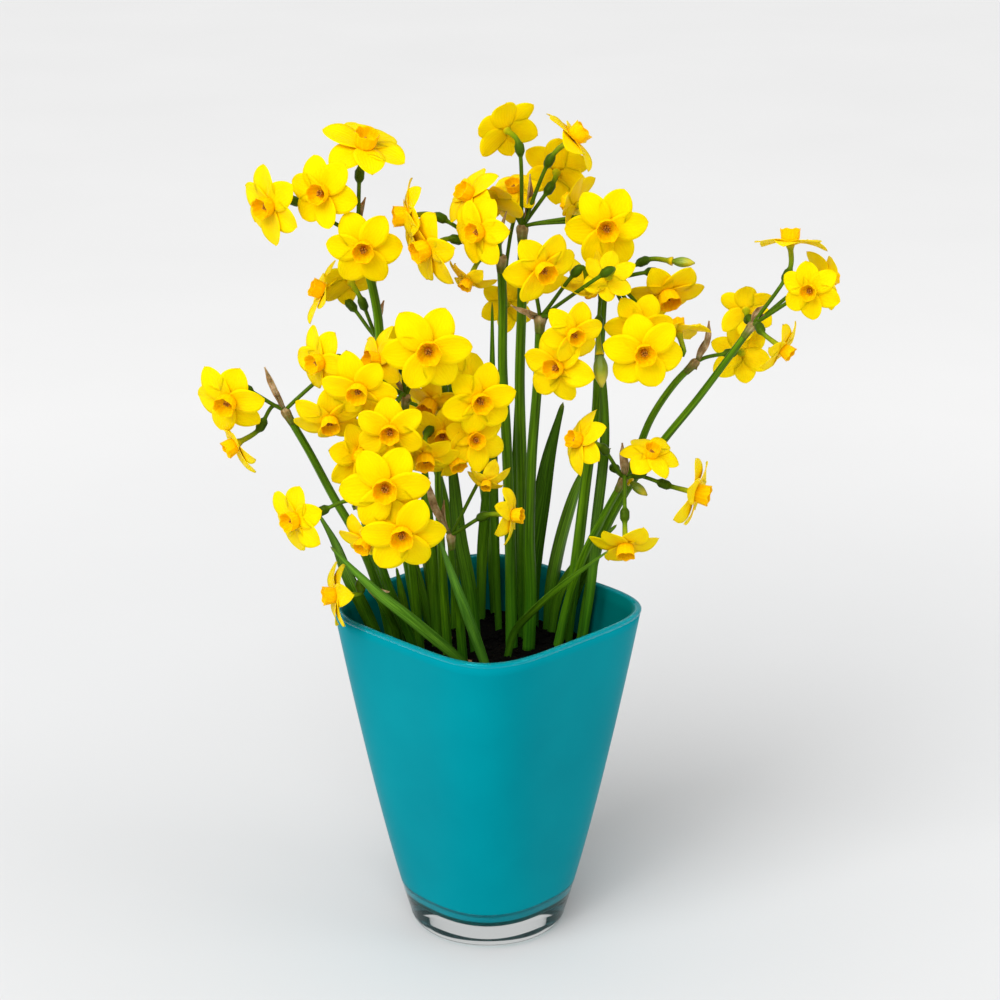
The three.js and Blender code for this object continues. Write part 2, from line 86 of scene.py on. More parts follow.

# ---- the plants
# Each flower head: hub, the tip of its papery spathe, points of its stem, flowers
# [x, y, z, turn, lift, width, age] and buds [x, y, z, turn, lift, length].
# A path's first point is where it leaves the soil, so it has no z.
# Turn 0 faces -Y, 90 faces +X; age 0 is fresh and 1 withered.
HEADS = [
    dict(hub=(-66, 20, 376), spathe=(-62, 26, 395),
         stem=[(-46, 13), (-54, 16, 182), (-64, 22, 218), (-65, 24, 253), (-59, 24, 289),
               (-56, 24, 324), (-60, 22, 353)],
         flowers=[(-109, 8, 395, -40, -5, 40, 0.1), (-82, 0, 403, -25, 5, 38, 0),
                  (-62, 18, 422, 30, 66, 44, 0), (-62, -4, 375.5, 0, -5, 39, 0)]),
    dict(hub=(-58, 34, 318), spathe=(-54, 40, 337),
         stem=[(-36, 26), (-41, 32, 179), (-47, 36, 217), (-52, 36, 257), (-56, 36, 295)],
         flowers=[(-85, 42, 341, -80, 25, 36, 0), (-71, 36, 348, -150, 30, 34, 0)]),
    dict(hub=(-102, -26, 297), spathe=(-111, -30, 321),
         stem=[(-50, 2), (-53, -1, 173), (-61, -8, 206), (-69, -12, 227), (-79, -17, 248),
               (-91, -22, 275)],
         flowers=[(-128, -40, 307, -20, -15, 39, 0), (-126, -30, 281, -65, -25, 34, 0.1),
                  (-82, -34, 325, -45, 0, 36, 0.1)]),
    dict(hub=(-60, -26, 202), spathe=(-50, -36, 203),
         stem=[(-46, -6), (-48, -10, 171), (-54, -19, 189)],
         flowers=[(-77, -30, 199, -75, 0, 36, 0.3)]),
    dict(hub=(-41, -20, 303), spathe=(-52, -6, 323),
         stem=[(-36, 6), (-37, 4, 168), (-40, -2, 211), (-42, -9, 246), (-43, -15, 279)],
         flowers=[(-29, -44, 334, 5, 0, 44, 0), (-54, -18, 321, -60, 10, 36, 0.2),
                  (-63, -46, 315, -10, -20, 38, 0), (-79, -36, 296, 10, -30, 36, 0.2),
                  (-48, -50, 294, 0, -5, 36, 0.1), (-65, -38, 277, 40, 5, 34, 0.1)]),
    dict(hub=(-22, -6, 284), spathe=(-12, 6, 299),
         stem=[(-21, 5), (-24, 1, 207), (-25, -2, 236), (-25, -4, 263)],
         flowers=[(-28, -9, 297, -30, -30, 38, 0.5), (-4, -30, 304, 15, -5, 38, 0),
                  (-31, -34, 276, 0, -35, 36, 0.2), (-17, -22, 271, 30, -35, 34, 0.2),
                  (-6, -24, 281, 10, 10, 33, 0.2), (-23, -15, 281, 5, -10, 32, 0.3)]),
    dict(hub=(-64, -44, 253), spathe=(-29, -40, 266),
         stem=[(-36, -5), (-42, -14, 173), (-51, -27, 203), (-58, -39, 233)],
         flowers=[(-50, -66, 270, 0, 0, 44, 0), (-42, -66, 246, 0, -10, 42, 0),
                  (-60, -58, 239, -30, -30, 32, 0.2), (-95, -52, 248, -45, 0, 36, 0)]),
    dict(hub=(-19, -9, 224), spathe=(-31, -14, 257),
         stem=[(-13, 0), (-15, -3, 178), (-18, -6, 203)],
         flowers=[(0, -24, 259, -10, -35, 23, 0.9), (12, -26, 241, 70, 5, 30, 0.4)]),
    dict(hub=(7, 16, 366), spathe=(10, 20, 389),
         stem=[(13, 14), (12, 18, 212), (10, 20, 267), (8, 20, 306), (8, 18, 343)],
         flowers=[(-39, 14, 388, -80, 0, 40, 0.1), (-29, 0, 375, -60, -15, 42, 0.1),
                  (-8, 10, 399, -60, 35, 36, 0.1), (-3, -8, 385, -40, 5, 36, 0.1),
                  (3, 26, 392, 150, 40, 34, 0.1), (-9, -2, 359, -40, -45, 27, 0.6)]),
    dict(hub=(18, 32, 378), spathe=(22, 36, 405),
         stem=[(20, 30), (19, 32, 196), (18, 34, 251), (17, 34, 295), (18, 34, 339)],
         flowers=[(10, 24, 430, -150, 20, 36, 0.1), (43, 30, 424, 90, 40, 40, 0),
                  (36, 50, 403, 170, 15, 38, 0.1), (14, 40, 395, -20, 60, 30, 0.2),
                  (60, 5, 384, 5, 0, 42, 0), (46, 26, 391, -120, 10, 34, 0.2),
                  (10, 47, 333, 170, -10, 29, 0.2)]),
    dict(hub=(27, 2, 338), spathe=(12, 0, 345),
         stem=[(22, 14), (23, 14, 183), (22, 12, 213), (23, 8, 259), (26, 5, 304)],
         flowers=[(27, -22, 370, 25, -15, 40, 0.1), (51, -2, 356, 150, -60, 30, 0.9),
                  (43, -24, 337, 20, -10, 33, 0.1), (36, -16, 317, -30, 5, 38, 0.2),
                  (61, -10, 362, 190, -35, 28, 0.3)]),
    dict(hub=(60, 24, 350), spathe=(66, 28, 369),
         stem=[(42, 23), (48, 24, 203), (53, 24, 250), (57, 22, 280), (58, 22, 306)],
         flowers=[(92, 20, 347, 20, -38, 42, 0.1), (77, -6, 336, 5, -10, 34, 0.1),
                  (79, -16, 325, 5, 0, 40, 0), (98, 6, 329, -160, 55, 32, 0.2)],
         buds=[(101, 30, 360, 70, 0, 13), (58, -4, 312, 10, -70, 18)]),
    dict(hub=(71, 0, 252), spathe=(70, 2, 271),
         stem=[(37, 14), (43, 16, 178), (52, 11, 208), (63, 5, 234)],
         flowers=[(48, -14, 277, -60, 20, 34, 0.3), (84, -8, 267, 20, 60, 31, 0.2),
                  (107, -4, 246, 75, -10, 40, 0.1), (71, -24, 225, 0, -45, 36, 0.2)],
         buds=[(79, 8, 244, 60, -30, 12)]),
    dict(hub=(108, 14, 311), spathe=(114, 14, 333),
         stem=[(43, 32), (46, 32, 170), (54, 31, 193), (65, 30, 225), (77, 27, 252), (86, 23, 278),
               (98, 18, 299)],
         flowers=[(133, 32, 311, 160, -15, 34, 0.4)]),
    dict(hub=(136, 6, 333), spathe=(142, 10, 342),
         stem=[(50, 24), (54, 26, 179), (60, 26, 207), (74, 22, 239), (92, 15, 268),
               (109, 11, 292)],
         flowers=[(154, 10, 374, 180, 74, 38, 0.1), (162, -16, 357, -20, 0, 31, 0.1),
                  (173, 18, 354, 120, 5, 32, 0.1), (134, 24, 336, 180, 10, 30, 0.3),
                  (149, -12, 326, 60, -30, 30, 0.3)]),
    dict(hub=(-34, 56, 273), spathe=(-28, 58, 297),
         stem=[(-18, 42), (-18, 48, 179), (-22, 54, 215), (-30, 56, 249)],
         flowers=[(-62, 70, 283, -150, 10, 36, 0.1), (-42, 82, 297, 180, 15, 38, 0),
                  (-12, 74, 283, 150, 0, 36, 0.1), (-36, 80, 259, -170, -20, 36, 0)]),
]

# Each leaf: width, the way its broad face looks, points from the soil to the tip.
LEAVES = [
    (7.5, (-0.5, -0.7, 0.5), [(2, -24), (-9, -34, 187), (-18, -44, 217), (-24, -49, 237)]),
    (6, (-0.3, -0.8, 0.6), [(-7, -15), (-21, -25, 167), (-39, -34, 187), (-58, -42, 207),
        (-79, -48, 232)]),
    (8, (-0.3, -0.9, 0.3), [(-55, 10), (-63, 8, 171), (-73, 0, 198), (-79, -5, 218),
        (-87, -8, 235)]),
    (5, (0, -1, 0.1), [(-40, 13), (-44, 8, 176), (-48, 5, 201)]),
    (8, (0.2, -1, 0.1), [(-6, 10), (-10, 8, 189), (-15, 7, 218), (-18, 8, 251), (-21, 11, 279)]),
    (5, (0.2, -0.9, -0.2), [(10, 2), (14, -4, 168), (24, -13, 184), (38, -22, 201),
        (62, -32, 224)]),
    (10, (-0.2, -1, 0.1), [(24, 44), (24, 44, 183), (29, 42, 227), (33, 40, 253), (40, 38, 282)]),
    (6, (0.1, -1, 0.1), [(-4, 56), (-3, 60, 194), (0, 60, 231), (2, 58, 278)]),
    (5, (0.3, -1, 0.1), [(6, 40), (4, 42, 196), (3, 40, 240), (2.5, 36, 290), (2.5, 33, 338)]),
    (8, (-0.1, -1, 0.1), [(17, 56), (18, 58, 197), (17, 58, 232), (17, 56, 267), (17, 54, 305)]),
    (6, (0.4, -1, 0.1), [(50, 13), (55, 16, 188), (57, 17, 218), (61, 12, 271), (58, 8, 321),
        (56, 12, 333)]),
    (6, (0.3, -1, 0.2), [(34, 36), (39, 38, 175), (52, 44, 193), (70, 50, 209)]),
    (8, (0.3, 0.9, 0.4), [(-28, 40), (-34, 52, 193), (-46, 66, 228), (-64, 80, 243)]),
    (8, (-0.2, 0.9, 0.4), [(33, 40), (35, 43, 177), (43, 60, 208), (54, 78, 231), (68, 92, 239)]),
    (7, (0.1, 0.9, 0.4), [(4, 64), (2, 74, 193), (-4, 88, 225), (-12, 104, 239)]),
    (7, (0.2, 0.9, 0.1), [(-30, 34), (-38, 40, 179), (-52, 48, 218), (-64, 52, 243),
        (-74, 54, 265)]),
    (7, (0, -1, 0), [(-27, 14), (-29, 13, 193), (-32, 11, 233), (-33, 12, 267)]),
]

PALE_FROM = 0.95  # of the leaves, only the pale ones have a chance mark above this
PALE_LEAVES = {1: 1.0, 2: 0.98}  # paler blades, with a greyer bloom
STOUT_STEMS = {1: 1.2, 9: 1.25, 10: 1.3, 11: 1.3, 12: 1.3}  # thickness against the others


# ---- material helpers
def material(name, **sockets):
    """A Principled material; the keyword names are socket names with _ for a space."""
    made = bpy.data.materials.new(name)
    made.use_nodes = True
    shader = made.node_tree.nodes["Principled BSDF"]
    for key, value in sockets.items():
        shader.inputs[key.replace("_", " ")].default_value = value
    return made, made.node_tree, shader


def add(tree, kind, **values):
    """A node; the names are sockets, with _ for a space, or else attributes."""
    node = tree.nodes.new(kind)
    for key, value in values.items():
        socket = key.replace("_", " ")
        if socket in node.inputs:
            node.inputs[socket].default_value = value
        else:
            setattr(node, key, value)
    return node


def feed(tree, node, values):
    """Sets numbered sockets to a number or a colour, or links them."""
    for socket, value in values:
        if isinstance(value, bpy.types.NodeSocket):
            tree.links.new(value, node.inputs[socket])
        else:
            plain = (*value, 1) if isinstance(value, tuple) else value
            node.inputs[socket].default_value = plain


def noise_over(tree, place, scale, detail, roughness):
    texture = add(tree, "ShaderNodeTexNoise", Scale=scale, Detail=detail, Roughness=roughness)
    tree.links.new(place.outputs["Vector"], texture.inputs["Vector"])
    return texture.outputs["Fac"]


def noise_at(tree, scale, detail=4.0, stretch=(1, 1, 1), roughness=0.55):
    """Noise over the object's own metres, stretched along an axis by a smaller number."""
    place = add(tree, "ShaderNodeTexCoord")
    mapping = add(tree, "ShaderNodeMapping", Scale=stretch)
    tree.links.new(place.outputs["Object"], mapping.inputs["Vector"])
    return noise_over(tree, mapping, scale, detail, roughness)


def streaks(tree, along, across, chance):
    """Noise drawn out lengthwise over a stem or a leaf, different on each."""
    place = add(tree, "ShaderNodeCombineXYZ")
    tree.links.new(math_node(tree, "MULTIPLY", across, 14.0), place.inputs["X"])
    tree.links.new(math_node(tree, "MULTIPLY", along, 5.0), place.inputs["Y"])
    tree.links.new(math_node(tree, "MULTIPLY", chance, 40.0), place.inputs["Z"])
    return noise_over(tree, place, 1.0, 4.0, 0.55)


def ramp(tree, source, stops):
    """A colour ramp with stops (position, (r, g, b))."""
    node = add(tree, "ShaderNodeValToRGB")
    elements = node.color_ramp.elements
    while len(elements) < len(stops):
        elements.new(0.5)
    for element, (position, colour) in zip(elements, stops):
        element.position = position
        element.color = (*colour, 1)
    tree.links.new(source, node.inputs["Fac"])
    return node.outputs["Color"]


def blend_colours(tree, factor, first, second, how="MIX"):
    node = add(tree, "ShaderNodeMix", data_type="RGBA", blend_type=how)
    feed(tree, node, ((0, factor), (6, first), (7, second)))
    return node.outputs[2]


def spread(tree, source, low, high):
    node = add(tree, "ShaderNodeMapRange", To_Min=low, To_Max=high)
    tree.links.new(source, node.inputs["Value"])
    return node.outputs["Result"]


def shaded(tree, amount, colour, source, stops):
    """The colour multiplied by a ramp over the source."""
    return blend_colours(tree, amount, colour, ramp(tree, source, stops), "MULTIPLY")


def dress(tree, shader, colour, grain, low, high):
    """Links the colour, and a roughness from low to high that follows the grain."""
    tree.links.new(colour, shader.inputs["Base Color"])
    tree.links.new(spread(tree, grain, low, high), shader.inputs["Roughness"])


def math_node(tree, operation, first, second=0.0):
    node = add(tree, "ShaderNodeMath", operation=operation)
    feed(tree, node, ((0, first), (1, second)))
    return node.outputs[0]


def marks(tree):
    """The three marks that a built surface carries: along, across and the piece's own chance value."""
    attribute = add(tree, "ShaderNodeAttribute", attribute_name="mark")
    split = add(tree, "ShaderNodeSeparateColor")
    tree.links.new(attribute.outputs["Color"], split.inputs["Color"])
    return split.outputs["Red"], split.outputs["Green"], split.outputs["Blue"]


def bump(tree, shader, height, strength, distance):
    node = add(tree, "ShaderNodeBump", Strength=strength, Distance=distance)
    tree.links.new(height, node.inputs["Height"])
    tree.links.new(node.outputs["Normal"], shader.inputs["Normal"])


def ribs(tree, across, count, uneven):
    """Lengthwise veins: a wave over the across mark, made uneven by noise."""
    phase = math_node(tree, "MULTIPLY", across, count * math.tau)
    shifted = math_node(tree, "ADD", phase, math_node(tree, "MULTIPLY", uneven, 4.0))
    return spread(tree, math_node(tree, "SINE", shifted), 0.0, 1.0)


# ---- materials
WHITE = (1, 1, 1)
BLACK = (0, 0, 0)


def petal_material():
    made, tree, shader = material("petal_yellow", Subsurface_Weight=0.55, Specular_IOR_Level=0.12,
                                  Specular_Tint=(1.0, 0.9, 0.1, 1), Subsurface_Scale=0.0016,
                                  Subsurface_Radius=(1.0, 0.75, 0.05))
    along, across, age = marks(tree)
    blotch = noise_at(tree, 160, 3)
    vein = ribs(tree, across, 9, blotch)
    fresh = ramp(tree, along, [(0.0, (0.97, 0.54, 0.0)), (0.22, (1.0, 0.63, 0.0)),
                               (0.7, (1.0, 0.67, 0.0)), (1.0, (1.0, 0.65, 0.0))])
    faded = ramp(tree, blotch, [(0.3, (0.66, 0.42, 0.004)), (0.7, (0.92, 0.64, 0.008))])
    colour = blend_colours(tree, age, fresh, faded)
    colour = shaded(tree, 0.7, colour, blotch, [(0.25, (0.94, 0.91, 0.8)), (0.7, WHITE)])
    colour = shaded(tree, 0.25, colour, vein, [(0.0, (0.95, 0.90, 0.8)), (0.35, WHITE)])
    dress(tree, shader, colour, blotch, 0.5, 0.7)
    height = math_node(tree, "ADD", vein, math_node(tree, "MULTIPLY", blotch, 1.5))
    bump(tree, shader, height, 0.25, 0.0002)
    return made


def cup_material():
    made, tree, shader = material("cup_orange", Subsurface_Weight=0.45, Specular_IOR_Level=0.12,
                                  Specular_Tint=(1.0, 0.7, 0.1, 1), Subsurface_Scale=0.0014,
                                  Subsurface_Radius=(1.0, 0.5, 0.03))
    along, across, age = marks(tree)
    blotch = noise_at(tree, 260, 3)
    pleat = ribs(tree, across, 12, blotch)
    # The last stop, deep orange-brown down in the throat, is painted shade.
    colour = ramp(tree, along, [(0.0, (1.0, 0.62, 0.0)), (0.35, (1.0, 0.56, 0.0)),
                                (0.5, (1.0, 0.51, 0.0)), (0.78, (1.0, 0.64, 0.0)),
                                (0.92, (1.0, 0.60, 0.0)), (1.0, (0.60, 0.26, 0.0))])
    aged = blend_colours(tree, age, colour, (0.80, 0.42, 0.003))
    colour = shaded(tree, 0.6, aged, pleat, [(0.0, (0.92, 0.87, 0.8)), (0.5, WHITE)])
    dress(tree, shader, colour, blotch, 0.45, 0.65)
    bump(tree, shader, pleat, 0.3, 0.0002)
    return made


def stamen_material():
    made, tree, shader = material("stamen_gold", Roughness=0.7, Specular_IOR_Level=0.1)
    grain = noise_at(tree, 1500, 2)
    colour = ramp(tree, grain, [(0.35, (0.20, 0.055, 0.003)), (0.7, (0.80, 0.40, 0.05))])
    tree.links.new(colour, shader.inputs["Base Color"])
    bump(tree, shader, grain, 0.5, 0.0002)
    return made


def stalk_material():
    """Along is 0 at the petals: tube, then the darker ovary, then the stalk."""
    made, tree, shader = material("stalk_green", Specular_IOR_Level=0.2,
                                  Specular_Tint=(0.8, 1.0, 0.2, 1))
    along, _, _ = marks(tree)
    streak = noise_at(tree, 500, 3)
    colour = ramp(tree, along, [(0.0, (0.80, 0.56, 0.0)), (0.08, (0.34, 0.36, 0.006)),
                                (0.40, (0.13, 0.22, 0.004)), (0.52, (0.040, 0.090, 0.002)),
                                (0.72, (0.034, 0.076, 0.002)), (0.80, (0.075, 0.16, 0.004)),
                                (1.0, (0.055, 0.12, 0.003))])
    shade = [(0.3, (0.72, 0.78, 0.6)), (0.7, (1.15, 1.12, 1.0))]
    colour = shaded(tree, 0.8, colour, streak, shade)
    dress(tree, shader, colour, streak, 0.34, 0.52)
    bump(tree, shader, streak, 0.25, 0.0003)
    return made


def green_material(name, dark, light, rib_count, gloss):
    """Leaf or stem: green streaked lengthwise, paler at the foot, with fine ribs and painted light and
    shade across it.
    """
    made, tree, shader = material(name, Specular_IOR_Level=gloss, Specular_Tint=(0.8, 1.0, 0.2, 1))
    along, across, chance = marks(tree)
    streak = streaks(tree, along, across, chance)
    cloud = noise_at(tree, 28, 3)
    rib = ribs(tree, across, rib_count, streak)
    colour = ramp(tree, streak, [(0.3, dark), (0.7, light)])
    tone = [(0.3, (0.66, 0.74, 0.62)), (0.7, (1.15, 1.1, 1.0))]
    colour = shaded(tree, 0.8, colour, cloud, tone)
    own = [(0.0, (0.42, 0.52, 0.5)), (PALE_FROM, (1.4, 1.2, 1.0)), (1.0, (1.4, 1.35, 4.0))]
    colour = shaded(tree, 1.0, colour, chance, own)
    foot = ramp(tree, along, [(0.0, WHITE), (0.40, BLACK)])
    colour = blend_colours(tree, math_node(tree, "MULTIPLY", foot, 0.65), colour,
                           (0.022, 0.15, 0.008))
    # Painted light and shade: darker at both ends of the across mark and lighter towards its middle,
    # as if lit from one side.
    side = [(0.0, (0.35, 0.42, 0.4)), (0.3, (0.9, 0.92, 0.9)), (0.5, (1.5, 1.35, 1.2)),
            (0.7, (1.0, 1.0, 0.95)), (1.0, (0.35, 0.42, 0.4))]
    colour = shaded(tree, 0.7, colour, across, side)
    dry = ramp(tree, along, [(0.965, BLACK), (1.0, WHITE)])
    colour = blend_colours(tree, math_node(tree, "MULTIPLY", dry, 0.5), colour,
                           (0.30, 0.26, 0.06))
    colour = shaded(tree, 0.8, colour, rib, [(0.0, (0.80, 0.84, 0.78)), (0.5, WHITE)])
    dress(tree, shader, colour, cloud, 0.34, 0.55)
    bump(tree, shader, math_node(tree, "ADD", rib, streak), 0.3, 0.0003)
    return made


def spathe_material():
    made, tree, shader = material("dry_spathe", Subsurface_Weight=0.2, Specular_IOR_Level=0.2,
                                  Subsurface_Scale=0.001)
    along, across, _ = marks(tree)
    cloud = noise_at(tree, 220, 4)
    rib = ribs(tree, across, 6, cloud)
    colour = ramp(tree, cloud, [(0.3, (0.17, 0.105, 0.035)), (0.5, (0.40, 0.29, 0.13)),
                                (0.7, (0.68, 0.56, 0.36))])
    green = ramp(tree, along, [(0.12, WHITE), (0.48, BLACK)])
    colour = blend_colours(tree, green, colour, (0.12, 0.17, 0.012))
    colour = shaded(tree, 0.8, colour, rib, [(0.0, (0.76, 0.66, 0.58)), (0.5, WHITE)])
    dress(tree, shader, colour, cloud, 0.6, 0.85)
    bump(tree, shader, rib, 0.5, 0.0004)
    return made


def bud_material():
    made, tree, shader = material("bud", Coat_Weight=0.1)
    along, across, _ = marks(tree)
    cloud = noise_at(tree, 300, 3)
    colour = ramp(tree, along, [(0.0, (0.10, 0.22, 0.008)), (0.5, (0.24, 0.35, 0.01)),
                                (0.85, (0.62, 0.54, 0.01)), (1.0, (0.42, 0.40, 0.02))])
    shade = [(0.3, (0.75, 0.78, 0.6)), (0.7, (1.05, 1.05, 1.0))]
    colour = shaded(tree, 0.8, colour, cloud, shade)
    dress(tree, shader, colour, cloud, 0.4, 0.6)
    bump(tree, shader, ribs(tree, across, 6, cloud), 0.4, 0.0004)
    return made


def soil_material():
    made, tree, shader = material("potting_soil_look", Specular_IOR_Level=0.06)
    grain = noise_at(tree, 420, 6, roughness=0.7)
    cloud = noise_at(tree, 60, 3)
    colour = ramp(tree, grain, [(0.3, (0.0006, 0.0005, 0.0005)), (0.58, (0.002, 0.0015, 0.001)),
                                (0.75, (0.016, 0.010, 0.006))])
    damp = [(0.3, (0.5, 0.45, 0.45)), (0.7, (1.1, 1.05, 1.0))]
    colour = shaded(tree, 0.9, colour, cloud, damp)
    dress(tree, shader, colour, cloud, 0.6, 0.95)
    bump(tree, shader, grain, 0.8, 0.001)
    return made


def glass_material():
    """Clear glass that lets lamps through, so that what is behind and under it is lit."""
    made, tree, shader = material("clear_glass_look", Transmission_Weight=1.0, IOR=1.48,
                                  Specular_Tint=(0.08, 0.6, 0.66, 1))
    haze = noise_at(tree, 12, 0)
    colour = ramp(tree, haze, [(0.3, (0.93, 0.985, 0.98)), (0.7, (0.97, 1.0, 0.995))])
    dress(tree, shader, colour, haze, 0.0, 0.01)
    bump(tree, shader, haze, 0.02, 0.0002)
    lamp = add(tree, "ShaderNodeLightPath")
    clear = add(tree, "ShaderNodeBsdfTransparent", Color=(0.9, 0.97, 0.97, 1))
    join = add(tree, "ShaderNodeMixShader")
    feed(tree, join, enumerate((lamp.outputs["Is Shadow Ray"], shader.outputs[0],
                                clear.outputs[0])))
    tree.links.new(join.outputs[0], tree.nodes["Material Output"].inputs["Surface"])
    return made


def lining_material():
    """Teal, with painted shade: a dark band round its bottom, and a greener, darker inside (the third
    mark).
    """
    made, tree, shader = material("teal_lining_look", Specular_IOR_Level=0.25, IOR=1.12,
                                  Specular_Tint=(0.03, 0.65, 0.75, 1))
    haze = noise_at(tree, 14, 3)
    fine = noise_at(tree, 300, 2)
    colour = ramp(tree, haze, [(0.3, (0.0, 0.220, 0.272)), (0.7, (0.0, 0.255, 0.308))])
    place = add(tree, "ShaderNodeTexCoord")
    height = add(tree, "ShaderNodeSeparateXYZ")
    tree.links.new(place.outputs["Object"], height.inputs["Vector"])
    # Painted shade: dark green below the band's top, round the bottom of the colour.
    low = FOOT_THICKNESS + SHADE_BAND_HEIGHT
    under = add(tree, "ShaderNodeMapRange", From_Min=low * MM, From_Max=(low + SHADE_BAND_BLUR) * MM)
    tree.links.new(height.outputs["Z"], under.inputs["Value"])
    colour = blend_colours(tree, under.outputs["Result"], (0.0, 0.060, 0.055), colour)
    # Painted shade: the inner wall, picked out by the third mark, is painted greener and darker than
    # the outside.
    _, _, inside = marks(tree)
    colour = blend_colours(tree, inside, colour, (0.0, 0.135, 0.130))
    dress(tree, shader, colour, fine, 0.26, 0.34)
    bump(tree, shader, haze, 0.02, 0.0005)
    return made


def bulb_material():
    made, tree, shader = material("bulb_skin")
    streak = noise_at(tree, 90, 4, (1, 1, 0.15))
    colour = ramp(tree, streak, [(0.3, (0.12, 0.05, 0.02)), (0.7, (0.42, 0.22, 0.09))])
    dress(tree, shader, colour, streak, 0.5, 0.8)
    bump(tree, shader, streak, 0.4, 0.001)
    return made


def floor_material():
    made, tree, shader = material("pale_floor")
    cloud = noise_at(tree, 3, 3)
    place = add(tree, "ShaderNodeTexCoord")
    away = add(tree, "ShaderNodeVectorMath", operation="LENGTH")
    tree.links.new(place.outputs["Object"], away.inputs[0])
    # Painted shade: the floor is darker round the jar and pales with distance from it.
    reach = ramp(tree, away.outputs["Value"], [(0.0, (0.62, 0.625, 0.63)),
                                               (0.45, (0.72, 0.725, 0.73)),
                                               (1.0, (0.81, 0.81, 0.81))])
    colour = shaded(tree, 1.0, reach, cloud, [(0.3, (0.985, 0.985, 0.985)), (0.7, WHITE)])
    dress(tree, shader, colour, cloud, 0.6, 0.75)
    return made


PETAL = petal_material()
CUP = cup_material()
STAMEN = stamen_material()
STALK = stalk_material()
STEM = green_material("stem_green", (0.018, 0.076, 0.001), (0.118, 0.30, 0.005), 10, 0.3)
LEAF = green_material("leaf_green", (0.024, 0.098, 0.002), (0.120, 0.31, 0.012), 7, 0.3)
SPATHE = spathe_material()
BUD = bud_material()
SOIL = soil_material()
GLASS = glass_material()
LINING = lining_material()
BULB = bulb_material()


# ---- building surfaces
class Surface:
    """Gathers closed skins, in millimetres, and makes one piece of them."""

    def __init__(self):
        self.points = []
        self.faces = []
        self.marks = []

    def skin(self, rows, row_marks, ring=False):
        """Closed skin through rows of equal closed loops.

        Both ends are capped, or joined to each other in a ring. rows is an array
        (rows, loop, 3); row_marks is the same shape and holds the marks.
        """
        rows = np.asarray(rows, float)
        count, loop = rows.shape[:2]
        start = len(self.points)
        self.points.extend(map(tuple, rows.reshape(-1, 3)))
        self.marks.extend(map(tuple, np.asarray(row_marks, float).reshape(-1, 3)))
        for i in range(count if ring else count - 1):
            here = start + i * loop
            there = start + (i + 1) % count * loop
            for j in range(loop):
                k = (j + 1) % loop
                self.faces.append((here + j, here + k, there + k, there + j))
        if not ring:
            self.faces.append(tuple(range(start + loop - 1, start - 1, -1)))
            last = start + (count - 1) * loop
            self.faces.append(tuple(range(last, last + loop)))

    def piece(self, name, look, slot, *nodes):
        mesh = bpy.data.meshes.new(name)
        mesh.from_pydata([tuple(c * MM for c in p) for p in self.points], [], self.faces)
        layer = mesh.attributes.new("mark", "FLOAT_COLOR", "POINT")
        colours = np.ones((len(self.points), 4), np.float32)
        colours[:, :3] = self.marks
        layer.data.foreach_set("color", colours.ravel())
        tidy = bmesh.new()
        tidy.from_mesh(mesh)
        bmesh.ops.recalc_face_normals(tidy, faces=tidy.faces)
        tidy.to_mesh(mesh)
        tidy.free()
        mesh.polygons.foreach_set("use_smooth", [True] * len(mesh.polygons))
        mesh.materials.append(look)
        made = bpy.data.objects.new(name, mesh)
        bpy.context.scene.collection.objects.link(made)
        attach(made, "root")
        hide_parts(*nodes)


def unit(v):
    return v / np.linalg.norm(v)


def turned(angle, first, second):
    """The direction at an angle from first towards second."""
    return math.cos(angle) * first + math.sin(angle) * second


def route(points, steps):
    """Evenly spaced places along a smooth curve through the points (centripetal Catmull-Rom)."""
    p = [np.array(q, float) for q in points]
    p = [2 * p[0] - p[1]] + p + [2 * p[-1] - p[-2]]
    fine = []
    for a, b, c, d in zip(p, p[1:], p[2:], p[3:]):
        t0 = 0.0
        t1 = t0 + np.linalg.norm(b - a) ** 0.5
        t2 = t1 + np.linalg.norm(c - b) ** 0.5
        t3 = t2 + np.linalg.norm(d - c) ** 0.5
        for t in np.linspace(t1, t2, 24, endpoint=False):
            ab = (t1 - t) / (t1 - t0) * a + (t - t0) / (t1 - t0) * b
            bc = (t2 - t) / (t2 - t1) * b + (t - t1) / (t2 - t1) * c
            cd = (t3 - t) / (t3 - t2) * c + (t - t2) / (t3 - t2) * d
            left = (t2 - t) / (t2 - t0) * ab + (t - t0) / (t2 - t0) * bc
            right = (t3 - t) / (t3 - t1) * bc + (t - t1) / (t3 - t1) * cd
            fine.append((t2 - t) / (t2 - t1) * left + (t - t1) / (t2 - t1) * right)
    fine.append(p[-2])
    fine = np.array(fine)
    lengths = np.concatenate([[0], np.cumsum(np.linalg.norm(np.diff(fine, axis=0), axis=1))])
    wanted = np.linspace(0, lengths[-1], steps + 1)
    line = np.stack([np.interp(wanted, lengths, fine[:, k]) for k in range(3)], 1)
    return line, lengths[-1]


def directions(line):
    step = np.gradient(line, axis=0)
    return step / np.linalg.norm(step, axis=1, keepdims=True)


def carried_frames(line, first_side):
    """Side and outward directions along a line, carried without twisting."""
    tangents = directions(line)
    side = np.array(first_side, float)
    frames = []
    for tangent in tangents:
        side = unit(side - tangent * side.dot(tangent))
        frames.append((side, np.cross(tangent, side)))
    return frames


def facing(turn, lift):
    a, b = math.radians(turn), math.radians(lift)
    return np.array([math.sin(a) * math.cos(b), -math.cos(a) * math.cos(b), math.sin(b)])


def smooth(x, low, high):
    t = min(max((x - low) / (high - low), 0.0), 1.0)
    return t * t * (3 - 2 * t)


def wobble(x, y, z, size):
    return noise.noise(Vector((x * size, y * size, z * size)))


# ---- jar, lining and soil
def outer_half(z):
    return BASE_HALF + (RIM_HALF - BASE_HALF) * z / PLAN_HEIGHT


